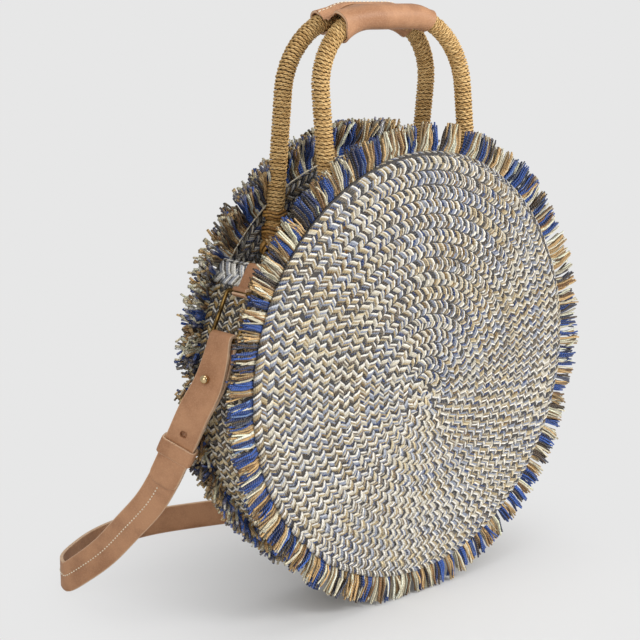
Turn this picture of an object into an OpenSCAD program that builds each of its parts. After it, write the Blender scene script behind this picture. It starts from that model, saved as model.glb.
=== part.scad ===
/* [Round panels] */
// Diameter of each braided round panel
disc_d = 350; // [330:5:380]
// Thickness of the plaited braid
panel_t = 5; // [4:0.5:6]
// How far the middle of a panel stands out from its rim
crown_h = 12; // [8:1:16]
// Depth of the bag over the rims of its two panels
bag_depth = 80; // [76:1:86]

/* [Fringe] */
// Length of the fringe past the panels
fringe_l = 23; // [18:1:28]
// Thickness of the yarn of one fringe
fringe_t = 6; // [5:0.5:7]
// Thickness of the woven tape that holds the yarn
tape_t = 1; // [0.8:0.1:1.4]
// Width of the tape that is sewn in behind the rim
tape_w = 8; // [6:1:10]
// Number of yarn bunches round one panel
bunches = 96; // [80:8:112]
// How deep the fringe is pressed flat under the standing bag
flat_cut = 3; // [2:0.5:4]

/* [Gusset] */
// Thickness of the gusset's braid
gusset_t = 5; // [4:0.5:6]
// Angle of the mouth, centred on the top
mouth_angle = 114; // [108:1:120]
// Length of the folded hem at each end of the gusset
hem_l = 18; // [14:1:22]
// Thickness of the hem on each side of the gusset
hem_t = 2.5; // [2:0.5:3.5]

/* [Handles] */
// Distance between the two legs of a handle
hoop_w = 155; // [148:1:162]
// Radius of a handle's bends
hoop_r = 56; // [50:1:62]
// Height of the handles' top above the fringe
handle_rise = 81; // [78:1:100]
// Distance of the front handle from the middle of the panels, towards the left
front_off = 12; // [6:1:18]
// Distance of the back handle from the middle of the panels, towards the left
back_off = 22; // [16:1:26]
// Diameter of a handle over its cord wrap
wrap_d = 15; // [13:0.5:16]
// Diameter of the cane core in a handle
core_d = 10; // [8:0.5:11]
// Diameter of the lashing that ties a leg to its panel
lash_d = 22; // [20:0.5:23]
// Length of a lashing
lash_l = 36; // [32:1:40]

/* [Grip] */
// Length of the leather grip
grip_l = 104; // [96:1:112]
// Distance of the grip from the middle of the panels, towards the left
grip_off = 19; // [15:1:23]
// Thickness of the grip's leather
grip_t = 2.2; // [1.8:0.1:2.6]
// Thickness of the stitched web between the two sleeves of the grip
web_t = 4; // [3.6:0.1:4.2]

/* [Strap and its hardware] */
// Width of the shoulder strap
strap_w = 25; // [22:1:27]
// Thickness of the shoulder strap
strap_t = 3; // [2.5:0.5:3.5]
// Length of the strap's left end, folded down from the ring
tail_l = 131; // [126:1:138]
// Length of the strap's right end, folded down from the ring
short_tail_l = 48; // [44:1:60]
// Distance of each stud from the fold in the strap
stud_at = 33; // [30:1:38]
// Distance of the spare hole from the fold in the strap
hole_at = 80; // [70:1:84]
// Diameter of the ball on a stud
stud_d = 7; // [6:0.5:8]
// Diameter of the wire of a ring
wire_d = 3.2; // [2.8:0.1:3.6]
// Height of a ring over its wire
ring_h = 40; // [34:1:42]
// Distance of the tabs from the middle of the gusset, towards the front
tab_off = 9; // [5:1:11]
// Width of the leather tab that holds a ring
tab_w = 18; // [14:1:20]
// Thickness of the tab's leather
tab_t = 2; // [1.6:0.1:2.4]
// Length of the tab's outer leg, from the hem's top edge to the ring
tab_l = 22; // [20:1:26]
// Width of the keeper along the strap
keeper_w = 14; // [12:1:16]
// Thickness of the keeper's leather
keeper_t = 1.8; // [1.5:0.1:2.2]
// Distance of the keeper from the fold in the strap
keeper_at = 97; // [94:1:104]

/* [Hidden] */
$fn = 64;
front = -1;
back = 1;
overrun = 1;
overrun_angle = 1;

// Panels, fringe and gusset, all round one axis that runs from front to back
disc_r = disc_d / 2;
tip_r = disc_r + fringe_l;
disc_z = tip_r - flat_cut;
rim_y = bag_depth / 2;
seat_y = rim_y - panel_t;
tape_y = seat_y - tape_t;
gusset_r = disc_r - overrun;
gusset_in_r = gusset_r - gusset_t;
dome_steps = 8;
rim_gap = 0.3;
bunch_shares = [[0.05, 0.8], [0.22, 0.96], [0.5, 1], [0.78, 0.96], [0.95, 0.8]];

// Hems and mouth
mouth_half = mouth_angle / 2;
gusset_end = 90 + mouth_half;
sew_gap = 0.2;
hem_r = gusset_r + sew_gap + hem_t;
hem_in_r = gusset_in_r - sew_gap - hem_t;
hem_top = 2.5;
degrees_per_mm = 180 / (PI * gusset_r);

// Tabs and rings
wire_r = wire_d / 2;
loop_gap = 0.3;
loop_in_r = wire_r + loop_gap;
loop_r = loop_in_r + tab_t;
tab_gap = 0.3;
tab_in_l = 16;
pivot_r = hem_r + tab_gap + loop_r;
pivot_angle = gusset_end + tab_l * degrees_per_mm;
pivot = [pivot_r * cos(pivot_angle), -tab_off, disc_z + pivot_r * sin(pivot_angle)];
ring_lean = 26;
ring_corner = 3;
ring_gap = 1.3;
ring_w = strap_w + 2 * ring_gap + 2 * wire_d;
ring_drop = ring_h - wire_d;
bar = pivot + ring_drop * [-sin(ring_lean), 0, -cos(ring_lean)];

// Handles
wrap_r = wrap_d / 2;
core_r = core_d / 2;
wind_fit = 0.1;
lash_fit = 0.3;
sleeve_fit = 0.6;
leg_tuck = 1.6;
anchor_share = 0.657;
anchor_z = disc_z + anchor_share * disc_r;
leg_tail = 15;
top_z = disc_z + tip_r + handle_rise;
leg_y = tape_y - wrap_r + leg_tuck;
hoop_gap = wrap_d + 2 * sleeve_fit + web_t;
half_w = hoop_w / 2;
lean = atan((leg_y - hoop_gap / 2) / (top_z - anchor_z));
hoop_h = (top_z - anchor_z) / cos(lean);
lash_shares = [[0, 0.35], [0.06, 0.8], [0.2, 1], [0.36, 0.85], [0.45, 0.4], [0.55, 0.4],
    [0.64, 0.85], [0.8, 1], [0.94, 0.8], [1, 0.35]];
lash_base = -23;
lash_gap = 0.3;

// Grip
grip_steps = 14;
grip_sides = 16;
grip_sag = 5;
end_cut_share = 0.16;

// Strap, on a route that starts at the left ring and ends at the right one
ply_gap = 0.4;
fold_r = wire_r + loop_gap + strap_t / 2;
drop_shares = [[-0.96, -0.04, 1.072], [-1, 0.008, 0.959], [-1.015, 0.063, 0.851],
    [-1.028, 0.115, 0.75], [-1.041, 0.17, 0.649], [-1.045, 0.27, 0.523], [-1.056, 0.412, 0.385],
    [-1.071, 0.558, 0.246], [-1.096, 0.694, 0.138]];
floor_shares = [[-1.106, 0.811], [-1.066, 0.902], [-0.96, 0.987], [-0.798, 1.078], [-0.616, 1.129],
    [-0.424, 1.129], [-0.192, 1.063], [0.1, 0.955], [0.379, 0.833], [0.631, 0.697]];
rise_shares = [[0.83, 0.56, 0.1], [0.96, 0.424, 0.256], [1.025, 0.31, 0.472], [1.04, 0.17, 0.68],
    [1.015, 0.055, 0.88], [0.96, -0.035, 1.072]];
route = concat(
    [bar + fold_r * inward(1)],
    [for (s = drop_shares) [s.x * tip_r, s.y * tip_r, s.z * disc_z]],
    [for (s = floor_shares) [s.x * tip_r, s.y * tip_r, strap_w / 2]],
    [for (s = rise_shares) [s.x * tip_r, s.y * tip_r, s.z * disc_z]],
    [[-bar.x, bar.y, bar.z] + fold_r * inward(-1)]);
steps_per_span = 3;
twist_spans = 3;
fold_steps = 8;
tail_steps = 18;
short_tail_steps = 8;
tip_shares = [0.5, 0.78, 1];
neck_r = 2;
neck_gap = 0.2;
seat_gap = 0.6;
hole_r = 2.4;
stud_base_r = 4.5;
stud_base_t = 1.5;
keeper_gap = 0.4;

function unit(v) = v / norm(v);
function inward(side) = [side * cos(ring_lean), 0, -sin(ring_lean)];

// A smooth curve through the route's points
function route_end(i) = min(max(i, 0), len(route) - 1);
function spline(a, b, c, d, t) =
    (2 * b + (c - a) * t + (2 * a - 5 * b + 4 * c - d) * t * t + (3 * b - a - 3 * c + d) * t * t * t) / 2;
function route_at(u) =
    let (i = min(floor(u), len(route) - 2),
        p = spline(route[route_end(i - 1)], route[i], route[i + 1], route[route_end(i + 2)], u - i))
    [p.x, p.y, max(p.z, strap_w / 2)];
function tangent_at(u) =
    let (e = 1 / 64, last = len(route) - 1)
    unit(route_at(min(u + e, last)) - route_at(max(u - e, 0)));

// The strap's width runs from front to back at the rings and stands upright on the floor
function width_at(u) =
    let (t = tangent_at(u), turn = min(1, min(u, len(route) - 1 - u) / twist_spans),
        w = [0, abs(t.z), norm([t.x, t.y]) * turn])
    unit(w - (w * t) * t);
function out_at(u) = cross(width_at(u), tangent_at(u));

// Length along the route, and the place on it at a given length
samples = [for (i = [0:(len(route) - 1) * 16]) i / 16];
lengths = [for (i = 0, l = 0; i < len(samples); i = i + 1,
    l = i < len(samples) ? l + norm(route_at(samples[i]) - route_at(samples[i - 1])) : l) l];
route_l = lengths[len(lengths) - 1];
function place_at(l) = lookup(l, [for (i = [0:len(samples) - 1]) [lengths[i], samples[i]]]);

// How far a folded end lies out from the main strap at a length from its fold
function ply_off(l) =
    strap_t + ply_gap + (2 * fold_r - strap_t - ply_gap) * max(0, 1 - l / stud_at);
function tail_ring(l, end, part) =
    let (u = place_at(end > 0 ? route_l - l : l))
    [route_at(u) + out_at(u) * ply_off(l), width_at(u), -out_at(u), part];
function fold_ring(a, end) =
    let (c = end > 0 ? [-bar.x, bar.y, bar.z] : bar, n = inward(end > 0 ? -1 : 1),
        up = [n.z * (end > 0 ? 1 : -1), 0, abs(n.x)])
    [c + fold_r * (n * cos(a) + up * sin(a)), [0, 1, 0], -(n * cos(a) + up * sin(a)), 1];
strap_rings = concat(
    [for (i = [0:tail_steps]) tail_ring(tail_l * (1 - i / tail_steps), -1, tip_shares[min(i, 2)])],
    [for (i = [1:fold_steps - 1]) fold_ring(180 - 180 * i / fold_steps, -1)],
    [for (i = [0:(len(route) - 1) * steps_per_span])
        let (u = i / steps_per_span) [route_at(u), width_at(u), out_at(u), 1]],
    [for (i = [1:fold_steps - 1]) fold_ring(180 * i / fold_steps, 1)],
    [for (i = [short_tail_steps:-1:0])
        tail_ring(short_tail_l * (1 - i / short_tail_steps), 1, tip_shares[min(i, 2)])]);

// Height of a panel's inner face over the rim at a distance from the middle
function dome(r) = crown_h * (1 - (r / disc_r) * (r / disc_r));

// One braided round panel, a shallow dish
module panel(side) {
    color("#b9b3a6")
    translate([0, side * rim_y, disc_z]) rotate([-side * 90, 0, 0])
    rotate_extrude($fn = 128)
    polygon(concat(
        [for (i = [0:dome_steps]) let (r = disc_r * i / dome_steps) [r, dome(r)]],
        [[disc_r, -panel_t]],
        [for (i = [dome_steps - 1:-1:0]) let (r = disc_r * i / dome_steps) [r, dome(r) - panel_t]]));
}

// A sector of a ring round the bag's axis, between two angles
module arc_slab(r1, r2, a1, a2, w) {
    translate([0, w / 2, disc_z]) rotate([90, 0, 0]) rotate([0, 0, a1])
    rotate_extrude(angle = a2 - a1, $fn = 128) translate([r1, 0]) square([r2 - r1, w]);
}

// The fringe: a tape behind the rim and a ring of yarn bunches past it
module fringe(side) {
    color("#4b5f94")
    difference() {
        union() {
            translate([0, side * (tape_y + (side > 0 ? tape_t : 0)), disc_z]) rotate([90, 0, 0])
            difference() {
                cylinder(h = tape_t, r = disc_r + rim_gap + overrun, $fn = 128);
                translate([0, 0, -overrun])
                cylinder(h = tape_t + 2 * overrun, r = disc_r - tape_w, $fn = 128);
            }
            translate([0, side * (tape_y + (side > 0 ? fringe_t : 0)), disc_z]) rotate([90, 0, 0])
            difference() {
                linear_extrude(height = fringe_t)
                polygon([for (i = [0:bunches - 1], s = bunch_shares)
                    let (a = 270 + (i - 1 / 2 + s.x) * 360 / bunches, r = disc_r + fringe_l * s.y)
                    [r * cos(a), r * sin(a)]]);
                translate([0, 0, -overrun])
                cylinder(h = fringe_t + 2 * overrun, r = disc_r + rim_gap, $fn = 128);
            }
        }
        translate([-tip_r, -bag_depth, -tip_r]) cube([2 * tip_r, 2 * bag_depth, tip_r]);
    }
}

// The braided gusset, open at the top
module gusset() {
    color("#8d8775")
    arc_slab(gusset_in_r, gusset_r, gusset_end + hem_top * degrees_per_mm,
        540 - gusset_end - hem_top * degrees_per_mm, 2 * tape_y);
}

// A braid hem folded over the gusset's end
module left_hem_shape() {
    difference() {
        arc_slab(hem_in_r, hem_r, gusset_end, gusset_end + hem_l * degrees_per_mm, 2 * tape_y - 2 * sew_gap);
        arc_slab(gusset_in_r - sew_gap, gusset_r + sew_gap,
            gusset_end + (hem_top - sew_gap) * degrees_per_mm,
            gusset_end + (hem_l + overrun) * degrees_per_mm, 2 * tape_y);
    }
}
module left_hem() { color("#ded6c4") left_hem_shape(); }
module right_hem() { color("#ded6c4") mirror([1, 0, 0]) left_hem_shape(); }

// A leather tab, saddled over the hem and looped round the ring's upper bar
module left_tab_shape() {
    in_r = hem_in_r - tab_gap;
    out_r = hem_r + tab_gap;
    top = gusset_end - tab_gap * degrees_per_mm;
    loop_top = pivot_angle - loop_r * degrees_per_mm;
    bend = top - tab_t * degrees_per_mm;
    difference() {
        union() {
            difference() {
                arc_slab(in_r - tab_t, out_r + tab_t, bend, loop_top, tab_w);
                arc_slab(in_r, out_r, top, loop_top + overrun_angle, tab_w + 2 * overrun);
                arc_slab(in_r - tab_t - overrun, in_r + overrun, gusset_end + tab_in_l * degrees_per_mm,
                    loop_top + overrun_angle, tab_w + 2 * overrun);
            }
            translate([0, tab_w / 2, disc_z]) rotate([90, 0, 0]) linear_extrude(height = tab_w)
            polygon([for (p = [[out_r, loop_top - loop_r * degrees_per_mm], [out_r, pivot_angle],
                [pivot_r + loop_r, pivot_angle], [out_r + tab_t, loop_top - loop_r * degrees_per_mm]])
                p.x * [cos(p.y), sin(p.y)]]);
            translate([pivot.x, tab_w / 2, pivot.z]) rotate([90, 0, 0]) cylinder(h = tab_w, r = loop_r);
        }
        translate([pivot.x, tab_w / 2 + overrun, pivot.z]) rotate([90, 0, 0])
        cylinder(h = tab_w + 2 * overrun, r = loop_in_r);
    }
}
module left_tab() { color("#b9805d") translate([0, -tab_off, 0]) left_tab_shape(); }
module right_tab() { color("#b9805d") translate([0, -tab_off, 0]) mirror([1, 0, 0]) left_tab_shape(); }

// A frame at the feet of a handle, leaning in towards the other handle
function handle_off(side) = side < 0 ? front_off : back_off;
module hoop_frame(side) {
    translate([-handle_off(side), side * leg_y, anchor_z])
    mirror([0, side > 0 ? 1 : 0, 0]) rotate([-lean, 0, 0]) children();
}

// A round bar bent to a handle's shape, with its legs reaching a length below the anchor
module hoop(r, tail) {
    for (m = [0, 1]) mirror([m, 0, 0]) {
        translate([half_w, 0, -tail]) cylinder(h = hoop_h - hoop_r + tail, r = r);
        translate([half_w - hoop_r, 0, hoop_h - hoop_r]) rotate([90, 0, 0])
        rotate_extrude(angle = 90) translate([hoop_r, 0]) circle(r = r);
        translate([0, 0, hoop_h]) rotate([0, 90, 0]) cylinder(h = half_w - hoop_r, r = r);
    }
}
module handle_core(side) { color("#8a6a3c") hoop_frame(side) hoop(core_r, leg_tail); }
module handle_wrap(side) {
    color("#b58a48")
    hoop_frame(side) difference() {
        hoop(wrap_r, leg_tail);
        hoop(core_r + wind_fit, leg_tail + overrun);
    }
}

// Lashing cord round the lower end of a leg, pressed flat where it is tied to the panel
module lashing(side, end) {
    bore_r = wrap_r + lash_fit;
    color("#7d5a2c")
    difference() {
        hoop_frame(side) translate([end * half_w, 0, lash_base])
        rotate_extrude()
        polygon(concat([[bore_r, 0]],
            [for (s = lash_shares) [bore_r + (lash_d / 2 - bore_r) * s.y, lash_l * s.x]],
            [[bore_r, lash_l]]));
        translate([0, -side * lash_gap, 0]) panel(side);
    }
}

// Height of a handle over its feet, and how steeply it runs, at a distance from its middle
function past_top(x) = max(abs(x) - half_w + hoop_r, 0);
function hoop_at(x) = hoop_h - hoop_r + sqrt(hoop_r * hoop_r - pow(past_top(x), 2));
function hoop_slope(x) = sqrt(1 - pow(past_top(x) / hoop_r, 2));

// One sleeve of the grip: close below the cord, standing open above it at the ends
function sleeve_point(x, r, a) =
    let (low = hoop_at(x) - r / hoop_slope(x) + r, high = hoop_h - grip_sag * pow(2 * x / grip_l, 2))
    [x, r * cos(a), (a < 180 ? max(high, low) : low) + r * sin(a)];
function sleeve_ring(x, r, shift) =
    [for (j = [0:grip_sides - 1]) let (a = 360 * (j + 1 / 2) / grip_sides)
        sleeve_point(shift + x * (1 - end_cut_share * (1 - sin(a)) / 2), r, a)];
module sleeve(shift) {
    k = grip_sides;
    n = grip_steps;
    r1 = wrap_r + sleeve_fit;
    xs = [for (i = [0:n]) -grip_l / 2 * cos(180 * i / n)];
    points = concat([for (x = xs) each sleeve_ring(x, r1 + grip_t, shift)],
        [for (x = xs) each sleeve_ring(x, r1, shift)]);
    inner = k * (n + 1);
    faces = concat(
        [for (i = [0:n - 1], j = [0:k - 1]) let (a = i * k + j, b = i * k + (j + 1) % k)
            each [[a, b, b + k], [a, b + k, a + k]]],
        [for (i = [0:n - 1], j = [0:k - 1])
            let (a = inner + i * k + j, b = inner + i * k + (j + 1) % k)
            each [[b, a, b + k], [b + k, a, a + k]]],
        [for (j = [0:k - 1]) let (b = (j + 1) % k) each [[j, inner + j, b], [b, inner + j, inner + b]]],
        [for (j = [0:k - 1]) let (a = n * k + j, b = n * k + (j + 1) % k)
            each [[a, b, inner + a], [b, inner + b, inner + a]]]);
    polyhedron(points = points, faces = faces);
}
module grip() {
    color("#c08a66")
    for (side = [front, back]) hoop_frame(side) sleeve(handle_off(side) - grip_off);
}

// A rectangular wire ring that hangs from its tab
module left_ring_shape() {
    w = ring_w / 2 - wire_r;
    translate(pivot) rotate([0, ring_lean, 0])
    for (m = [0, 1], top = [0, 1])
        translate([0, 0, -ring_drop / 2]) mirror([0, m, 0]) mirror([0, 0, top]) {
            translate([0, 0, ring_drop / 2]) rotate([-90, 0, 0]) cylinder(h = w - ring_corner, r = wire_r);
            translate([0, w, 0]) cylinder(h = ring_drop / 2 - ring_corner, r = wire_r);
            translate([0, w - ring_corner, ring_drop / 2 - ring_corner]) rotate([90, 0, 90])
            rotate_extrude(angle = 90) translate([ring_corner, 0]) circle(r = wire_r);
        }
}
module left_ring() { color("#7c6238") left_ring_shape(); }
module right_ring() { color("#7c6238") mirror([1, 0, 0]) left_ring_shape(); }

// A frame on the strap, with its upright axis pointing out of the strap's outer face
module on_strap(l, end) {
    u = place_at(end > 0 ? route_l - l : l);
    p = route_at(u);
    t = tangent_at(u);
    w = width_at(u);
    o = out_at(u);
    multmatrix([[t.x, w.x, o.x, p.x], [t.y, w.y, o.y, p.y], [t.z, w.z, o.z, p.z], [0, 0, 0, 1]])
    children();
}

// The shoulder strap: one leather strip, folded through both rings
module strap_body() {
    corners = [[-1, -1], [1, -1], [1, 1], [-1, 1]];
    n = len(strap_rings) - 1;
    points = [for (r = strap_rings, c = corners)
        r[0] + r[1] * c.x * strap_w / 2 * r[3] + r[2] * c.y * strap_t / 2];
    faces = concat(
        [for (i = [0:n - 1], j = [0:3]) let (a = 4 * i + j, b = 4 * i + (j + 1) % 4)
            each [[a, b, b + 4], [a, b + 4, a + 4]]],
        [[0, 2, 1], [0, 3, 2]],
        [[4 * n, 4 * n + 1, 4 * n + 2], [4 * n, 4 * n + 2, 4 * n + 3]]);
    polyhedron(points = points, faces = faces);
}
module shoulder_strap() {
    color("#b57f5c")
    difference() {
        strap_body();
        for (end = [-1, 1]) on_strap(stud_at, end)
            translate([0, 0, -strap_t]) cylinder(h = 3 * strap_t + ply_gap, r = neck_r + neck_gap);
        on_strap(hole_at, -1) translate([0, 0, strap_t / 2 + ply_gap / 2])
            cylinder(h = strap_t + ply_gap, r = hole_r);
    }
}

// A ball stud whose neck goes through both plies of the strap, its ball seated on the neck's end
module stud(end) {
    color("#b08d4f")
    on_strap(stud_at, end) {
        ball_r = stud_d / 2;
        top = 3 * strap_t / 2 + ply_gap + neck_gap;
        translate([0, 0, -strap_t / 2 - seat_gap - stud_base_t]) cylinder(h = stud_base_t, r = stud_base_r);
        translate([0, 0, -strap_t / 2 - seat_gap - stud_base_t / 2])
        cylinder(h = top + strap_t / 2 + seat_gap + stud_base_t, r = neck_r);
        translate([0, 0, top + sqrt(ball_r * ball_r - neck_r * neck_r)]) sphere(r = ball_r);
    }
}

// A leather keeper round both plies, free to slide along the strap
module left_keeper() {
    h = 2 * strap_t + ply_gap + 2 * keeper_gap;
    w = strap_w + 2 * keeper_gap;
    color("#c48f6a")
    on_strap(keeper_at, -1) translate([-keeper_w / 2, 0, strap_t / 2 + ply_gap / 2])
    difference() {
        translate([0, -w / 2 - keeper_t, -h / 2 - keeper_t]) cube([keeper_w, w + 2 * keeper_t, h + 2 * keeper_t]);
        translate([-overrun, -w / 2, -h / 2]) cube([keeper_w + 2 * overrun, w, h]);
    }
}

panel(front);  // front_panel
panel(back);  // back_panel
fringe(front);  // front_fringe
fringe(back);  // back_fringe
gusset();
left_hem();
right_hem();
left_tab();
right_tab();
handle_core(front);  // front_handle_core
handle_wrap(front);  // front_handle_wrap
handle_core(back);  // back_handle_core
handle_wrap(back);  // back_handle_wrap
grip();
lashing(front, -1);  // front_left_lashing
lashing(front, 1);  // front_right_lashing
lashing(back, -1);  // back_left_lashing
lashing(back, 1);  // back_right_lashing
left_ring();
right_ring();
shoulder_strap();
stud(-1);  // left_stud
stud(1);  // right_stud
left_keeper();
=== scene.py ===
import bpy
import math
import numpy as np
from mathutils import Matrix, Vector


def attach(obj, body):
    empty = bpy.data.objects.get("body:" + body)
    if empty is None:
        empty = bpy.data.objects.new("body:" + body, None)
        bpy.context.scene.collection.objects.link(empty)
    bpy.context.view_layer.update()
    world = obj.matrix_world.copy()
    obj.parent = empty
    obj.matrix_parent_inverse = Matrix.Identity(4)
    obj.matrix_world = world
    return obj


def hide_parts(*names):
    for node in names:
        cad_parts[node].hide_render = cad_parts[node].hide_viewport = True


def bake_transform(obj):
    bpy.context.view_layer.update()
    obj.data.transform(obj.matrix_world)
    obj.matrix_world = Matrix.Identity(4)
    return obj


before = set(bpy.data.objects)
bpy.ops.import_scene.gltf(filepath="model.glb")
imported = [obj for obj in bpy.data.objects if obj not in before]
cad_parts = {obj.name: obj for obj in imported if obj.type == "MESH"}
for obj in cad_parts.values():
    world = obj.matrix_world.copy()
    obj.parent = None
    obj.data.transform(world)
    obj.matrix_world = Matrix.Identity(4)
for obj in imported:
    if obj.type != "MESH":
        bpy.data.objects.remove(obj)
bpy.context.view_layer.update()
scene = bpy.context.scene
print("frame loaded")

# Sizes are in millimetres until a piece is made: x across, y to the back, z up
bag = {"rim": 175.0, "tip": 198.0, "height": 195.0, "rimDepth": 40.0, "braid": 5.0, "crown": 12.0,
       "mouthHalf": 57.0}
tau = 2 * math.pi
backward = np.array([0.0, 1.0, 0.0])
rng = np.random.default_rng(41)


# Shading helpers

def paint(code):  # a hex colour as linear RGBA
    parts = [int(code[i:i + 2], 16) / 255 for i in (1, 3, 5)]
    return tuple(p / 12.92 if p <= 0.04045 else ((p + 0.055) / 1.055) ** 2.4 for p in parts) + (1.0,)


class Wire:  # one output of a node, with maths on it
    def __init__(self, finish, socket):
        self.finish, self.socket = finish, socket

    def calc(self, operation, *others):
        return self.finish.node("ShaderNodeMath", dict(enumerate((self,) + others)), operation=operation)

    def __add__(self, other):
        return self.calc("ADD", other)

    def __sub__(self, other):
        return self.calc("SUBTRACT", other)

    def __mul__(self, other):
        return self.calc("MULTIPLY", other)

    def __pow__(self, other):
        return self.calc("POWER", other)

    def __abs__(self):
        return self.calc("ABSOLUTE")


class Finish:  # a material or world that is built node by node
    def __init__(self, name, blocks=bpy.data.materials):
        self.block = blocks.new(name)
        self.block.use_nodes = True
        self.tree = self.block.node_tree
        self.tree.nodes.clear()

    def node(self, kind, inputs, output=0, **settings):
        made = self.tree.nodes.new(kind)
        for key, value in settings.items():
            setattr(made, key, value)
        for key, value in inputs.items():
            if isinstance(value, Wire):
                self.tree.links.new(value.socket, made.inputs[key])
            else:
                made.inputs[key].default_value = value
        return Wire(self, made.outputs[output])

    def mix(self, share, low, high):  # a colour between two colours
        return self.node("ShaderNodeMix", {0: share, 6: low, 7: high}, 2, data_type="RGBA")

    def spread(self, value, low, high, lowOut=0.0, highOut=1.0):  # a smooth step
        inputs = {"Value": value, "From Min": low, "From Max": high, "To Min": lowOut, "To Max": highOut}
        return self.node("ShaderNodeMapRange", inputs, interpolation_type="SMOOTHSTEP")

    def noise(self, place, scale, detail=2.0, roughness=0.5):
        inputs = {"Vector": place, "Scale": scale, "Detail": detail, "Roughness": roughness}
        return self.node("ShaderNodeTexNoise", inputs, "Fac")

    def attribute(self, name, output="Vector"):
        return self.node("ShaderNodeAttribute", {}, output, attribute_name=name)

    def parts(self, vector):
        split = self.node("ShaderNodeSeparateXYZ", {0: vector})
        return [Wire(self, socket) for socket in split.socket.node.outputs]

    def join(self, x, y, z):
        return self.node("ShaderNodeCombineXYZ", {0: x, 1: y, 2: z})

    def place(self):
        return self.node("ShaderNodeTexCoord", {}, "Object")

    def bump(self, height, strength, distance):
        inputs = {"Height": height, "Strength": strength, "Distance": distance}
        return self.node("ShaderNodeBump", inputs, "Normal")

    def surface(self, **sockets):
        inputs = {name.replace("_", " "): value for name, value in sockets.items()}
        return self.close(self.node("ShaderNodeBsdfPrincipled", inputs))

    def close(self, shader, kind="ShaderNodeOutputMaterial"):
        end = self.tree.nodes.new(kind)
        self.tree.links.new(shader.socket, end.inputs["Surface"])
        return self.block


# Mesh helpers

def put(name, data):  # a new object in the scene
    made = bpy.data.objects.new(name, data)
    scene.collection.objects.link(made)
    return made


def unit(v):
    return v / np.linalg.norm(v, axis=-1, keepdims=True)


def tangents(path):
    return unit(np.gradient(path, axis=0))


def lengthsAlong(path):
    return np.concatenate([[0], np.cumsum(np.linalg.norm(np.diff(path, axis=0), axis=1))])


def sample(values, lengths, wanted):
    return np.stack([np.interp(wanted, lengths, column) for column in values.T], -1)


def even(path, step):  # the same path with points a step apart
    lengths = lengthsAlong(path)
    wanted = np.linspace(0, lengths[-1], max(int(round(lengths[-1] / step)), 2) + 1)
    return sample(path, lengths, wanted), wanted


def stripSection(right, top, bottom=()):  # a strip's outline; its left edge mirrors the right
    left = [(-x, y) for x, y in right[::-1]]
    return np.roll(np.array([*bottom, *right, *top, *left], float), 1, axis=0)


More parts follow.
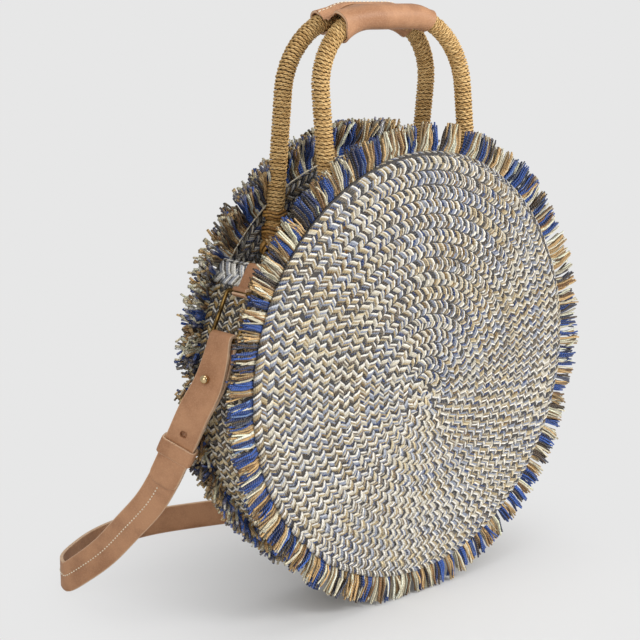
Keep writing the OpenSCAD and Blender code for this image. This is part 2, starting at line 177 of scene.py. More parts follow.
class Shape:  # gathers points and quads before they become one mesh
    def __init__(self):
        self.points, self.faces, self.weave, self.tints, self.count = [], [], [], [], 0

    def add(self, points, faces, weave, tint=None):  # weave holds three measures for each face corner
        points = np.asarray(points, float).reshape(-1, 3)
        self.points.append(points)
        self.faces.append(np.asarray(faces, int) + self.count)
        self.weave.append(np.asarray(weave, float).reshape(-1, 3))
        if tint is not None:
            self.tints.append(np.asarray(tint, float).reshape(-1, 4))
        self.count += len(points)

    def tubes(self, centres, side, up, halfSide, halfUp, sides, tag, tint=None):  # one tube, or many alike
        centres = np.asarray(centres, float)
        if centres.ndim == 2:
            centres, side, up = centres[None], side[None], up[None]
        many, rings = centres.shape[:2]
        turn = tau * (np.arange(sides) + 0.5) / sides
        wide = np.broadcast_to(halfSide, (many, rings))[..., None] * np.cos(turn)
        high = np.broadcast_to(halfUp, (many, rings))[..., None] * np.sin(turn)
        points = centres[:, :, None] + side[:, :, None] * wide[..., None] + up[:, :, None] * high[..., None]
        step = np.diff(centres, axis=1)
        along = np.insert(np.cumsum(np.linalg.norm(step, axis=2), axis=1), 0, 0.0, axis=1)
        m, r, k = np.meshgrid(np.arange(many), np.arange(rings - 1), np.arange(sides), indexing="ij")
        here = (m * rings + r) * sides + k
        beside = (m * rings + r) * sides + (k + 1) % sides
        faces = [np.stack([here, beside, beside + sides, here + sides], -1).reshape(-1, 4)]
        lengthwise = np.stack([along[:, :-1], along[:, :-1], along[:, 1:], along[:, 1:]], -1)[:, :, None]
        around = np.stack([k, k + 1, k + 1, k], -1) / sides
        tag = np.broadcast_to(np.asarray(tag, float).reshape(-1), many)
        weave = np.stack([lengthwise + 0 * around, around, tag[:, None, None, None] + 0 * around], -1)
        weave = [weave.reshape(-1, 4, 3)]
        starts = np.arange(many)[:, None] * rings * sides
        for j in range(1, sides - 2, 2):  # quads that close the two ends
            corners = np.array([0, j, j + 1, j + 2])
            for ring, order in ((0, -1), (rings - 1, 1)):
                faces.append(starts + ring * sides + corners[::order])
                cap = np.zeros((many, 4, 3))
                cap[..., 0], cap[..., 2] = along[:, [ring]], tag[:, None]
                weave.append(cap)
        faces, weave = np.concatenate(faces), np.concatenate(weave)
        if (np.cross(side[:, :-1], up[:, :-1]) * step).sum() < 0:  # faces look outwards
            faces, weave = faces[:, ::-1], weave[:, ::-1]
        if tint is not None:
            tint = np.broadcast_to(np.reshape(tint, (many, -1, 1, 4)), (many, rings, sides, 4))
        self.add(points, faces, weave, tint)

    def cord(self, points, out, radius, tag):  # one round cord, turned so that its side without painted shade looks out
        direction = tangents(points)
        across = unit(np.cross(direction, out))
        self.tubes(points, across, unit(np.cross(across, direction)), radius, radius, 6, tag)

    def sheet(self, grid, weave, closed=False):  # a grid of points, rows by columns
        rows, columns = grid.shape[:2]
        last = columns if closed else columns - 1
        r, c = np.meshgrid(np.arange(rows - 1) * columns, np.arange(last), indexing="ij")
        beside = (c + 1) % columns
        quads = np.stack([r + c, r + beside, r + columns + beside, r + columns + c], -1).reshape(-1, 4)
        self.add(grid, quads, weave.reshape(-1, 3)[quads.reshape(-1)])

    def strip(self, path, across, out, section, edge, narrow=1.0, flip=False, ends=True):  # of leather
        narrow = np.broadcast_to(narrow, len(path))[:, None, None]
        grid = path[:, None] + across[:, None] * section[:, :1] * narrow + out[:, None] * section[:, 1:]
        half = section[:, 0].max()
        weave = np.zeros(grid.shape)
        weave[..., 0] = lengthsAlong(path)[:, None]
        weave[..., 1] = section[:, 0] / half
        weave[..., 2] = np.abs(section[:, 0]) > half - edge  # one on the cut edges
        order = slice(None, None, -1 if flip else 1)
        self.sheet(grid[order], weave[order], True)
        if ends:
            count = len(section)
            quads = np.array([(j, j + 1, count - 2 - j, count - 1 - j) for j in range(count // 2 - 1)])
            for row, outward in ((0, flip), (-1, not flip)):
                mark = np.tile([0.0, 0.0, 1.0], (quads.size, 1))
                self.add(grid[row], quads if outward else quads[:, ::-1], mark)

    def piece(self, name, body, finish, replaced=()):
        points, faces = np.concatenate(self.points) * 0.001, np.concatenate(self.faces)
        mesh = bpy.data.meshes.new(name)
        mesh.vertices.add(len(points))
        mesh.vertices.foreach_set("co", points.ravel())
        mesh.loops.add(faces.size)
        mesh.loops.foreach_set("vertex_index", faces.ravel())
        mesh.polygons.add(len(faces))
        mesh.polygons.foreach_set("loop_start", np.arange(0, faces.size, 4))
        mesh.polygons.foreach_set("loop_total", np.full(len(faces), 4))
        mesh.shade_smooth()
        mesh.update(calc_edges=True)
        weave = mesh.attributes.new("weave", "FLOAT_VECTOR", "CORNER")
        weave.data.foreach_set("vector", np.concatenate(self.weave).ravel())
        if self.tints:
            tint = mesh.attributes.new("tint", "FLOAT_COLOR", "POINT")
            tint.data.foreach_set("color", np.concatenate(self.tints).ravel())
        mesh.validate()
        mesh.materials.append(finish)
        made = put(name, mesh)
        if body:
            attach(made, body)
        if replaced:
            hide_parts(*replaced)
        return made


# Finishes; weave is length, turn and tag on a yarn or cord, and length, place across and cut on leather

# dusk darkens random fibres; glint is a painted highlight and flank a painted shade
yarnToneAndPaintedLight = {"dusk": paint("#1c1a1c"), "glint": paint("#fbf6ea"), "flankShade": paint("#15131a")}


def yarnFinish(name, dusk, sheen, gapShade):
    f = Finish(name)
    along, around, tag = f.parts(f.attribute("weave"))
    base = f.attribute("tint", "Color")
    fine = f.noise(f.join(along * 0.7, around * 4.0, tag * 7.0), 1.0, 3.0, 0.65)
    cloud = f.noise(f.join(along * 0.09, tag * 17.0, 0.0), 1.0, 2.0)
    twist = (along * 3.0 + around * (tau * 2)).calc("SINE")
    deep = f.mix(dusk, base, yarnToneAndPaintedLight["dusk"])
    colour = f.mix(f.spread(fine + (cloud - 0.5) * 0.5, 0.2, 0.62), deep, base)
    # painted highlight on the crests of the twist
    colour = f.mix(f.spread(twist, 0.3, 1.0, 0.0, 0.16), colour, yarnToneAndPaintedLight["glint"])
    flankShade = f.spread(abs((around * tau).calc("SINE")), 0.0, 0.7, gapShade, 0.0)
    colour = f.mix(flankShade, colour, yarnToneAndPaintedLight["flankShade"])  # painted shade where a yarn lies against its neighbours
    normal = f.bump(twist * 0.5 + fine * 0.7, 0.8, 0.0004)
    return f.surface(Base_Color=colour, Roughness=0.88, Normal=normal, Specular_IOR_Level=0.2,
                     Sheen_Weight=sheen, Sheen_Roughness=0.5)


def cordFinish(name, light, middle, shadeTone, gapShade):
    f = Finish(name)
    along, around, tag = f.parts(f.attribute("weave"))
    drift = f.noise(f.join(along * 0.02, tag * 3.0, 0.0), 1.0, 2.0)
    fibre = f.noise(f.join(along * 0.25, around * 12.0, tag), 1.0, 3.0, 0.65)
    twist = (along * 1.9 + around * tau).calc("SINE")
    colour = f.mix(f.spread(drift + (fibre - 0.5) * 0.9, 0.3, 0.7), paint(middle), paint(light))
    # painted shade in the grooves of the twist
    colour = f.mix(f.spread(twist, -1.0, -0.45, 0.3, 0.0), colour, paint(shadeTone))
    valleyShade = f.spread((around * tau).calc("SINE"), -0.1, 0.85, gapShade, 0.0)
    colour = f.mix(valleyShade, colour, paint(shadeTone))  # painted shade between one turn and the next
    normal = f.bump(twist * 0.3 + fibre * 0.7, 0.7, 0.0004)
    return f.surface(Base_Color=colour, Roughness=0.6, Normal=normal, Specular_IOR_Level=0.45)


def leatherFinish(name, tone, deep, light, edge):
    f = Finish(name)
    _, across, cut = f.parts(f.attribute("weave"))
    place = f.place()
    cloud = f.noise(place, 30.0, 4.0, 0.6)
    speck = f.noise(place, 900.0, 3.0, 0.6)
    pores = f.node("ShaderNodeTexVoronoi", {"Vector": place, "Scale": 1500.0}, "Distance", feature="F1")
    colour = f.mix(f.spread(cloud, 0.36, 0.66), paint(deep), paint(tone))
    colour = f.mix(f.spread(speck, 0.4, 0.75, 0.0, 0.35), colour, paint(light))
    colour = f.mix(f.spread(abs(across), 0.86, 1.0) * 0.45, colour, paint(light))  # lighter towards both long edges
    colour = f.mix(cut, colour, paint(edge))
    crease = f.spread(abs(abs(across) - 0.84), 0.0, 0.035)
    normal = f.bump(speck * 0.5 + pores * 0.6 + crease * 0.9, 0.4, 0.0003)
    gloss = f.spread(cloud, 0.3, 0.8, 0.46, 0.6)
    return f.surface(Base_Color=colour, Roughness=gloss, Normal=normal, Specular_IOR_Level=0.4)


def metalFinish(name, bright, dull, smooth, rough):
    f = Finish(name)
    place = f.place()
    wear = f.noise(place, 160.0, 4.0, 0.6)
    scratch = f.noise(place, 1400.0, 2.0)
    colour = f.mix(f.spread(wear, 0.35, 0.68), paint(dull), paint(bright))
    return f.surface(Base_Color=colour, Metallic=1.0, Roughness=f.spread(wear, 0.3, 0.75, rough, smooth),
                     Normal=f.bump(scratch, 0.12, 0.0002))


def plainFinish(name, tone, other, roughness, scale):
    f = Finish(name)
    grain = f.noise(f.place(), scale, 4.0, 0.6)
    colour = f.mix(f.spread(grain, 0.3, 0.7), paint(tone), paint(other))
    return f.surface(Base_Color=colour, Roughness=roughness, Normal=f.bump(grain, 0.5, 0.0004))


braid = yarnFinish("plaited braid yarn", dusk=0.42, sheen=0.2, gapShade=0.25)
hemBraid = yarnFinish("pale hem yarn", dusk=0.3, sheen=0.2, gapShade=0.5)
yarn = yarnFinish("cut yarn", dusk=0.6, sheen=0.08, gapShade=0.55)
cord = cordFinish("golden cord", light="#e8c385", middle="#c0975a", shadeTone="#4e3418", gapShade=0.4)
lashCord = cordFinish("brown lashing cord", light="#d8a55a", middle="#8a5c2a", shadeTone="#1d1207", gapShade=0.85)
leather = leatherFinish("tan leather", tone="#b98863", deep="#9d6e4c", light="#cda17c", edge="#dab897")
# painted shade: the dark sheets behind the braids
shadeSheet = plainFinish("braid shade sheet", tone="#3d3c40", other="#524d46", roughness=0.95, scale=500.0)
thread = plainFinish("cream thread", tone="#f3ead4", other="#ddd1b6", roughness=0.8, scale=1200.0)
cane = plainFinish("bent cane", tone="#6d4d26", other="#4b3418", roughness=0.7, scale=300.0)
antique = metalFinish("antique brass", bright="#8d7040", dull="#4d3b20", smooth=0.3, rough=0.5)
brass = metalFinish("bright brass", bright="#d6bd92", dull="#b39768", smooth=0.16, rough=0.3)
print("finishes made")


# Plaiting; each dye has the colours and their odds for a strand's pale, middle and dark yarns

dyes = {"pale": {"#fffaf0": 0.64, "#f5ecd9": 0.24, "#ecd9b0": 0.07, "#cfd3dd": 0.05},
        "middle": {"#e4dac4": 0.32, "#c6b085": 0.25, "#9fa6b8": 0.26, "#8a7c6a": 0.17},
        "heart": {"#484851": 0.32, "#66635f": 0.22, "#634f38": 0.16, "#34508c": 0.14, "#a17f4a": 0.1,
                  "#b3ada2": 0.06}}
hemDyes = {"pale": {"#fbf8f0": 0.7, "#ebe9e0": 0.3}, "middle": {"#e6e2d8": 0.6, "#bcc0cb": 0.4},
           "heart": {"#8f8b82": 0.3, "#54555c": 0.34, "#7d7056": 0.2, "#4a5674": 0.16}}
gussetDyes = {"pale": {"#fffaf0": 0.56, "#f8ebcc": 0.24, "#e6cf9c": 0.12, "#f0eeea": 0.08},
              "middle": {"#ecd6a8": 0.36, "#b8944f": 0.26, "#7d6a4a": 0.22, "#5c5a5e": 0.16},
              "heart": {"#352c20": 0.36, "#4c3f2c": 0.26, "#2f2e35": 0.2, "#8f6f3f": 0.1, "#2f3d6c": 0.08}}
dyed = {"stretch": (14.0, 60.0), "shades": (0.86, 1.12)}
uneven = {"bed": (0.2, 24.0), "sway": (0.26, 50.0), "breadth": (0.06, 13.0), "across": (0.12, 7.0),
          "high": (0.13, 7.0)}  # how far each wavers, and over what length


def waver(lengths, kind):  # smooth noise along a path
    far, reach = uneven[kind]
    knots = rng.normal(0, 1, int(lengths[-1] / reach) + 4)
    at = lengths / reach
    low = at.astype(int)
    part = at - low
    part = part * part * (3 - 2 * part)
    return far * (knots[low] * (1 - part) + knots[low + 1] * part)


def dyeStretches(lengths, mixed):  # dyed stretches along a yarn
    ends = np.cumsum(rng.uniform(*dyed["stretch"], int(lengths[-1] / dyed["stretch"][0]) + 2))
    picks = rng.choice(len(mixed), size=len(ends) + 1, p=list(mixed.values()))
    shades = rng.uniform(*dyed["shades"], (len(ends) + 1, 1)) * [1, 1, 1, 0] + [0, 0, 0, 1]
    return (np.array([paint(code) for code in mixed])[picks] * shades)[np.searchsorted(ends, lengths)]


def plait(shape, path, normal, lengths, make, dye, phase=0.0, size=1.0):  # three strands, over and under
    lateral = unit(np.cross(normal, tangents(path)))
    size = np.broadcast_to(size, lengths.shape)
    for strand in range(3):
        sway, breadth = waver(lengths, "sway"), 1 + waver(lengths, "breadth")
        for place in np.linspace(-1, 1, make["yarns"]):  # the yarns of a strand lie beside each other
            turn = tau * (lengths / make["period"] + strand / 3) + phase + sway + make["lag"] * place
            turn = turn - make["lean"] * np.cos(2 * turn)  # quick over the top, slow underneath
            across = make["swing"] * (np.sin(turn) - np.sin(3 * turn) / 9) * breadth
            across = across + waver(lengths, "across")
            high = make["lift"] * np.sin(2 * turn) - make["tilt"] * np.cos(turn) - make["crown"] * place ** 2
            high = high + make["shingle"] * place + make["edge"] * np.sin(turn) ** 2 + waver(lengths, "high")
            line = path + lateral * (across * size)[:, None] + normal * (high * size)[:, None]
            direction = tangents(line)
            side = unit(np.cross(normal, direction))
            part = "pale" if place > 0.9 else "middle" if place > -0.25 else "heart"
            # the dyes are the yarns' own colours; the multiplier is painted shade, darker towards a strand's
            # trailing yarns
            tint = dyeStretches(lengths, dye[part]) * ([0.8 + 0.2 * place] * 3 + [1])
            wide, thick = make["yarnWide"] * size, make["yarnHigh"] * size
            up = unit(np.cross(direction, side))
            shape.tubes(line, side, up, wide, thick, make["sides"], rng.uniform(0, 9), tint)


def makeShadeSheet(name, grid):  # a dark sheet behind a braid: painted shade that shows through the gaps between its strands
    shape = Shape()
    shape.sheet(grid, np.zeros(grid.shape), True)
    shape.piece(name, "bag", shadeSheet)


# Round panels: one braid each, sewn in a spiral that starts below the middle

panel = {"pitch": 10.3, "first": 2.4, "offset": (-3.0, -18.5), "rimGap": 0.3, "tailTurn": 0.72,
         "shadeSheet": 0.6, "step": 1.8, "backStep": 2.4, "sides": 5, "yarns": 5, "yarnWide": 0.84,
         "yarnHigh": 1.0, "period": 21.6, "swing": 4.65, "lag": 0.78, "lean": 0.2, "lift": 1.5, "tilt": 0.3,
         "shingle": 0.5, "crown": 0.5, "edge": -0.1}


def onPanel(x, z, side, depth=0.0):  # a point on a panel's middle surface, which is a shallow dome
    dome = bag["crown"] * (1 - (np.hypot(x, z) / bag["rim"]) ** 2)
    y = bag["rimDepth"] - bag["braid"] / 2 + dome + depth
    return np.stack([x, side * y, z + bag["height"]], -1)


def panelNormal(x, z, side):
    slope = 2 * bag["crown"] / bag["rim"] ** 2
    return unit(np.stack([x * slope, np.full_like(x, side), z * slope], -1))


def makePanel(name, node, side, start, step):
    pitch, last = panel["pitch"], bag["rim"] - panel["pitch"] / 2 - panel["rimGap"]
    sweep = tau * (last - panel["first"]) / pitch
    angle = np.linspace(0, sweep + tau * panel["tailTurn"], 60000)
    past = np.maximum(angle - sweep, 0) / tau  # the last turn narrows so that the rim is round
    r = np.minimum(panel["first"] + pitch * angle / tau, last) + pitch * past / 2
    shift = np.clip(1 - r / last, 0, 1)
    x = r * np.cos(angle + start) + panel["offset"][0] * shift
    z = r * np.sin(angle + start) + panel["offset"][1] * shift
    spiral = np.stack([x, 0 * x, z], -1)
    path, lengths = even(spiral, step)
    size = 1 - np.interp(lengths, lengthsAlong(spiral), past)
    x, _, z = path.T
    shape = Shape()
    surface = onPanel(x, z, side, waver(lengths, "bed"))
    plait(shape, surface, panelNormal(x, z, side), lengths, panel, dyes, size=size)
    shape.piece(name, "bag", braid, [node])
    radii = np.linspace(0.5, bag["rim"] - 1.5, 30)[:, None]
    turns = np.linspace(0, tau, 97)[:-1]
    x, z = radii * np.cos(turns), radii * np.sin(turns)
    outer, inner = (onPanel(x, z, side, depth) for depth in (panel["shadeSheet"], -panel["shadeSheet"]))
    makeShadeSheet(name + "ShadeSheet", np.concatenate([outer, inner[::-1]])[::-side])


makePanel("frontBraid", "front_panel", -1, 2.2, panel["step"])
makePanel("backBraid", "back_panel", 1, 0.4, panel["backStep"])
print("round panels plaited")


# Gusset and its hems

gusset = dict(panel, rows=6, pitch=11.2, outer=174.0, swing=4.4, halfBack=33.4)
hem = dict(panel, width=67.0, outside=175.5, inside=167.4, drop=9.0, over=0.9, swing=6.9, lift=0.8, crown=0.4,
           edge=0.5, lag=0.82, yarnWide=1.0, yarnHigh=0.85, period=25.0, phase=1.7)
hemTop = dict(hem, swing=2.9, yarns=4, period=21.0)
gussetEnd = math.radians(90 + bag["mouthHalf"])
gussetMiddle = gusset["outer"] - bag["braid"] / 2


def arcPoint(radius, angle, y):  # a point round the bag's middle
    x, z = radius * np.cos(angle), radius * np.sin(angle) + bag["height"]
    return np.stack(np.broadcast_arrays(x, y, z), -1)


def gussetSweep(short, count):
    return np.linspace(gussetEnd + short, 3 * math.pi - gussetEnd - short, count)


shape = Shape()
sweep = gussetSweep(0.02, 350)
radial = unit(arcPoint(1.0, sweep, 0.0) - [0, 0, bag["height"]])
for row in range(gusset["rows"]):
    path = arcPoint(gussetMiddle, sweep, (row - (gusset["rows"] - 1) / 2) * gusset["pitch"])
    lengths = gussetMiddle * (sweep - sweep[0])
    plait(shape, path, radial, lengths, gusset, gussetDyes, rng.uniform(0, tau))
shape.piece("gussetBraid", "bag", braid, ["gusset"])
outer, inner, wide = gussetMiddle + panel["shadeSheet"], gussetMiddle - panel["shadeSheet"], gusset["halfBack"]
sweep = gussetSweep(0.01, 120)
corners = ((outer, -wide), (outer, wide), (inner, wide), (inner, -wide))
makeShadeSheet("gussetShadeSheet", np.stack([arcPoint(radius, sweep, y) for radius, y in corners], 1))

for name, flip in (("left", 1), ("right", -1)):
    shape = Shape()
    across = np.arange(-hem["width"] / 2, hem["width"] / 2 + 0.1, hem["step"])
    rows = [(hem["outside"], hem["drop"]), (gussetMiddle, -hem["over"]), (hem["inside"], hem["drop"])]
    for n, (radius, drop) in enumerate(rows):  # outside, top and inside
        angle = gussetEnd + drop / gusset["outer"]
        path = arcPoint(radius, angle, across)
        out = np.array([math.cos(angle), 0, math.sin(angle)])
        top = np.array([math.sin(angle), 0, -math.cos(angle)])
        normal = np.tile((out, top, -out)[n] * [flip, 1, 1], (len(across), 1))
        make = hemTop if n == 1 else hem
        plait(shape, path * [flip, 1, 1], normal, across - across[0], make, hemDyes, n * hem["phase"])
    shape.piece(name + "HemBraid", "bag", hemBraid, [name + "_hem"])
print("gusset and hems plaited")


# Fringes; a group has its odds, the least and most width of a bunch, and its yarns with their odds

fringe = {"spacing": 1.95, "radius": 0.86, "root": 167.5, "reach": (16, 30.5), "depth": 34.3, "rings": 7,
          "sides": 5, "tips": 0.5, "tipTone": paint("#f4dfae"), "bright": 1.22, "brightest": 0.93,
          "fullAt": math.radians(118), "opens": 6, "lean": 0.12, "bend": 24, "stray": 0.6, "ripple": 0.8,
          "ripples": 9, "bushOut": (-3.0, 15.0), "bushIn": (0.0, 3.0)}
yarnTone = {"cobalt": "#2655a8", "deep": "#1d3064", "cream": "#fbf0d0", "tan": "#d4ad74", "brown": "#8a6339",
            "slate": "#474d60", "steel": "#6f8fc2", "bark": "#4a3826"}
frontFringe = {"side": -1, "length": 28.0, "uneven": 1.5, "bush": 0.14, "full": 0.0, "layers": 4, "groups": [
    (0.26, (3.0, 8.0), {"cobalt": 0.76, "deep": 0.2, "steel": 0.04}),
    (0.27, (1.6, 4.5), {"cream": 0.85, "tan": 0.15}),
    (0.28, (4.0, 9.0), {"tan": 0.5, "brown": 0.24, "cream": 0.26}),
    (0.19, (2.0, 5.0), {"slate": 0.4, "bark": 0.42, "deep": 0.18})]}
backFringe = {"side": 1, "length": 19.5, "uneven": 1.8, "bush": 1.0, "full": 14.0, "layers": 6, "groups": [
    (0.25, (2.5, 6.5), {"deep": 0.25, "cobalt": 0.7, "slate": 0.05}),
    (0.27, (1.5, 4.5), {"cream": 0.84, "tan": 0.16}),
    (0.3, (4.0, 8.0), {"brown": 0.2, "bark": 0.1, "tan": 0.5, "cream": 0.2}),
    (0.18, (2.0, 5.0), {"slate": 0.35, "bark": 0.45, "deep": 0.2})]}


def drawBunches(make):  # one row for each yarn: angle, lean, reach, rise and colour
    yarns, at, last = [], 0.0, -1
    while at < tau * bag["rim"]:
        kind = last
        while kind == last:
            kind = rng.choice(len(make["groups"]), p=[group[0] for group in make["groups"]])
        last = kind
        _, widths, mixed = make["groups"][kind]
        width = rng.uniform(*widths)
        tones = [paint(yarnTone[name]) for name in mixed]
        lean, reach = rng.normal(0, fringe["lean"]), rng.normal(0, make["uneven"])
        rise = rng.uniform(-1.0, 1.0)
        for _ in range(max(int(width / fringe["spacing"] + 0.5), 1) * make["layers"]):
            angle = (at + rng.uniform(0.12, 0.88) * width) / bag["rim"]
            tone = tones[rng.choice(len(tones), p=list(mixed.values()))]
            ownLean = lean + rng.normal(0, 0.05 + make["bush"] * 0.05)
            yarns.append((angle, ownLean, reach + rng.normal(0, make["uneven"]), rise, *tone))
        at += width
    return np.array(yarns)


def makeFringe(name, node, make):
    yarns = drawBunches(make)
    many, side, bush = len(yarns), make["side"], make["bush"]

    def draw(low, high):  # one random number for each yarn
        return rng.uniform(low, high, (many, 1))

    angle, lean, reach, rise = yarns[:, :4].T[..., None]
    level = draw(0, 1)
    share = np.linspace(0, 1, fringe["rings"])[None]
    length = make["length"] + make["full"] * np.cos(angle - fringe["fullAt"]).clip(0, 1) ** 3
    radius = fringe["root"] + share * np.clip(length + reach, *fringe["reach"])
    opened = np.clip((radius - bag["rim"]) / fringe["opens"], 0, 1)  # past the rim the yarns spread
    wave = np.sin(share * draw(3, 7) + draw(0, tau)) * share
    wave = wave * (0.5 + 1.6 * bush) * rng.normal(0, 1, (many, 1))
    turn = angle + (lean * share ** 1.4 * fringe["bend"] + wave) / bag["rim"]
    depth = fringe["depth"] + level * (0.9 + opened * 4.4)
    depth = depth + rng.normal(0, fringe["stray"], (many, 1)) * share ** 2
    depth = depth + fringe["ripple"] * share ** 2 * np.sin(angle * fringe["ripples"] + 1.0) + rise * opened
    depth = depth - bush * opened * share * draw(*fringe["bushOut"])
    radius = radius - bush * opened * share * draw(*fringe["bushIn"])
    z = np.maximum(radius * np.sin(turn), 0.9 - bag["height"] + 0.5 * level)  # none through the floor
    centres = np.stack([radius * np.cos(turn), side * depth, z + bag["height"]], -1)
    direction = unit(np.gradient(centres, axis=1))
    sideways = unit(np.cross(direction, np.array([0.05, side, 0.03]) + 0 * direction))
    thick = (fringe["radius"] + 0.16 * bush) * draw(0.8, 1.15) * (1 - 0.2 * (1 - bush) * share ** 4)
    # random tone of each yarn; the bushy back fringe's yarns are also painted lighter, as painted light for
    # the shade they lie in
    shade = draw(0.5 + 0.2 * bush, fringe["bright"] + 0.3 * bush) * [1, 1, 1, 0] + [0, 0, 0, 1]
    tint = np.clip(yarns[:, 4:] * shade, 0, fringe["brightest"])[:, None]
    cut = (share ** 10 * draw(0.0, fringe["tips"] * bush))[..., None]  # the cut ends look paler
    tint = tint * (1 - cut) + np.array(fringe["tipTone"]) * cut
    shape = Shape()
    up = np.cross(direction, sideways)
    shape.tubes(centres, sideways, up, thick, thick, fringe["sides"], rng.uniform(0, 9, many), tint)
    shape.piece(name, "bag", yarn, [node])


makeFringe("frontFringe", "front_fringe", frontFringe)
makeFringe("backFringe", "back_fringe", backFringe)
print("fringes made")


# Handles, which are cord of two plies wound round cane

handle = {"width": 155.0, "bend": 56.0, "rise": 81.0, "tail": 15.0, "off": {-1: -12.0, 1: -22.0},
          "legDepth": 28.1, "gap": 20.2, "anchor": 309.975, "wrap": 7.4, "pitch": 2.7, "ply": 0.76,
          "part": 0.64, "twists": 4.25, "perTurn": 36, "wave": 0.5, "creep": 0.12, "bulge": 0.1, "phase": 0.8}
topHeight = bag["height"] + bag["tip"] + handle["rise"]
tilt = math.atan((handle["legDepth"] - handle["gap"] / 2) / (topHeight - handle["anchor"]))
hoopHeight = (topHeight - handle["anchor"]) / math.cos(tilt)


def toHandle(points, side):  # from a handle's own plane to the bag, side -1 in front
    x, y, z = points.T
    depth = y * math.cos(tilt) + z * math.sin(tilt) - handle["legDepth"]
    height = z * math.cos(tilt) - y * math.sin(tilt) + handle["anchor"]
    return np.stack([x + handle["off"][side], -side * depth, height], -1)


def hoopLine():
    half, bend = handle["width"] / 2, handle["bend"]
    left = [(-half, 0, z) for z in np.linspace(-handle["tail"], hoopHeight - bend, 60)]
    left += [(-half + bend * (1 - math.cos(a)), 0, hoopHeight - bend + bend * math.sin(a))
             for a in np.linspace(0, math.pi / 2, 60)[1:]]
    return np.array(left + [(-x, y, z) for x, y, z in left[::-1]], float)


def windCord(line, radius, phase):  # a cord wound round a line: middle, outward and lengthwise ways, angle
    path, lengths = even(line, 0.5)
    s = np.linspace(0, lengths[-1], int(lengths[-1] / handle["pitch"] * handle["perTurn"]))
    angle = tau * s / handle["pitch"] + phase
    s = s + handle["wave"] * np.sin(2 * angle + 0.6) + handle["creep"] * np.sin(s * 0.9)
    s = np.clip(s, 0, lengths[-1])
    tangent = unit(sample(tangents(path), lengths, s))
    flat = unit(np.cross(tangent, backward))
    outward = flat * np.cos(angle)[:, None] + backward * np.sin(angle)[:, None]
    radius = radius + handle["bulge"] * np.sin(s * 1.7)
    return sample(path, lengths, s) + outward * radius[:, None], outward, tangent, angle


for name, side in (("front", -1), ("back", 1)):
    radius = handle["wrap"] - handle["ply"] - handle["part"]
    centre, outward, lengthwise, angle = windCord(hoopLine(), radius, handle["phase"] * side)
    shape = Shape()
    for ply in (0, 1):
        twist = (angle * handle["twists"] + ply * math.pi)[:, None]
        local = centre + handle["part"] * (outward * np.cos(twist) + lengthwise * np.sin(twist))
        points = toHandle(local, side)
        shape.cord(points, toHandle(local + outward, side) - points, handle["ply"], 0.5 + ply * 3)
    shape.piece(name + "HandleCord", "handles", cord, [name + "_handle_wrap"])


# Lashings: on each leg three wound balls of cord, a waist and four stitches

lash = {"cord": 1.35, "perTurn": 36, "ballTurns": 6, "polar": (0.035, 0.94), "slack": 0.05, "stray": 0.13,
        "balls": [(-14.2, (10.9, 9.0, 9.8)), (0.6, (10.9, 7.0, 9.8)), (13.2, (10.6, 6.2, 9.6))],
        "waist": 8.2, "waistAt": -4.4, "waistTurns": 3, "waistPitch": 2.4,
        "stitch": 1.3, "stitchAt": (-16, -12, 3, 7), "stitchDepths": (-14.6, -11, -7, -4)}


def ballLine(turns, size):  # a cord wound over a ball from pole to pole
    share = np.linspace(*lash["polar"], lash["ballTurns"] * lash["perTurn"])
    turn = tau * lash["ballTurns"] * share + turns
    polar = math.pi * share + lash["stray"] * np.sin(turn * 4) * np.sin(math.pi * share)
    slack = 1 + lash["slack"] * np.sin(turn * 4 + 1.2)
    a, b, c = np.array(size) - lash["cord"]
    line = [a * np.sin(polar) * np.cos(turn), b * np.cos(polar), c * np.sin(polar) * np.sin(turn)]
    return np.stack(line, -1) * slack[:, None]


def makeLashing(name, node, side, leg):
    shape = Shape()
    for n, (at, size) in enumerate(lash["balls"]):
        local = ballLine(n, size)
        if n:  # the balls above the mouth stand upright round the handle's leg
            local = local[:, [0, 2, 1]]
        points = toHandle(local + [leg, 0, at], side)
        shape.cord(points, points - toHandle(np.array([leg, 0, at]), side), lash["cord"], n * 2.0)
    ring = np.linspace(0, tau * lash["waistTurns"], 60)
    height = lash["waistAt"] + (ring / tau - lash["waistTurns"] / 2) * lash["waistPitch"]
    local = np.stack([lash["waist"] * np.cos(ring) + leg, lash["waist"] * np.sin(ring), height], -1)
    points = toHandle(local, side)
    shape.cord(points, points - toHandle(local * [0, 0, 1] + [leg, 0, 0], side), lash["cord"], 7.0)
    for at in lash["stitchAt"]:
        local = np.array([(leg + 3 * math.sin(at), y, at) for y in lash["stitchDepths"]])
        shape.cord(toHandle(local, side), [-1.0, -0.2, -0.1], lash["stitch"], 9.0)
    shape.piece(name, "bag", lashCord, [node])


for name, side in (("front", -1), ("back", 1)):
    for word, end in (("left", -1), ("right", 1)):
        makeLashing(f"{name}{word.title()}Lashing", f"{name}_{word}_lashing", side, end * handle["width"] / 2)
print("handles wound")


# Grip: a leather sleeve round both hoops, with a flap stitched along its top

grip = {"length": 104.0, "off": 19.0, "outer": 10.0, "wall": 2.2, "steps": 60, "cut": 0.16, "dip": 8.0,
        "leastDip": 0.4, "crease": 8.4, "thin": 1.3, "sag": 5.0, "rimOut": 0.35}
flap = [(1.0, 0.05, 0), (3.0, 1.1, 0), (8.4, 1.5, 0), (9.2, 1.1, 1), (9.3, -0.2, 1)]  # depth, rise, cut edge
gripStitch = {"length": 2.4, "gap": 1.5, "radius": 0.42}


def hoopTop(x):  # a hoop's height at a place along its top, and the cosine of its slope there
    bend = handle["bend"]
    past = np.clip(np.abs(x) - handle["width"] / 2 + bend, 0, bend * 0.95)
    level = np.sqrt(bend ** 2 - past ** 2)
    return hoopHeight - bend + level, level / bend


